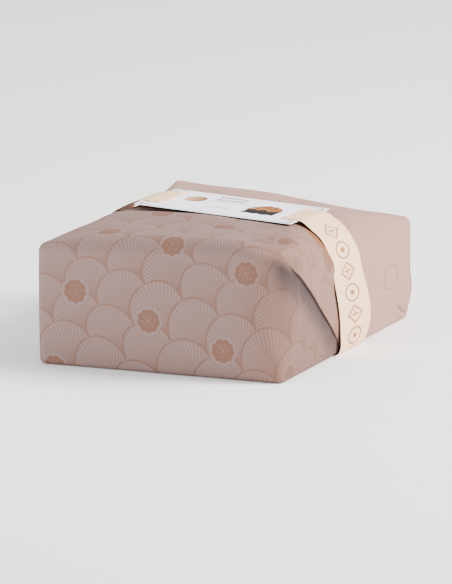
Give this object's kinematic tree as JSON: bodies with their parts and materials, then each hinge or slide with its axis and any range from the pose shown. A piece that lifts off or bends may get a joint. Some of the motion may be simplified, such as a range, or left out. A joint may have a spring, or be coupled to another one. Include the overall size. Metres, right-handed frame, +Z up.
{
  "type": "colomba cake in its gift wrapping",
  "caption": "Gift-wrapped colomba cake: a boxed festive loaf cake in printed mauve paper, a cream paper belly band round its middle and a white label card threaded on the band",
  "frame": {"origin": "middle of the belly band's flat underside, under the pack's middle, on the surface it stands on", "axes": "+X the pack's right seen from its front, -Y its front, +Z up"},
  "size_m": [0.2643, 0.3483, 0.1394],
  "materials": {
    "wrapping_paper": "satin",
    "band_paper": "matte",
    "label_card": "satin"
  },
  "bodies": {
    "root": {"wrapped_pack": "wrapping_paper", "belly_band": "band_paper", "label_card": "label_card"}
  },
  "joints": []
}
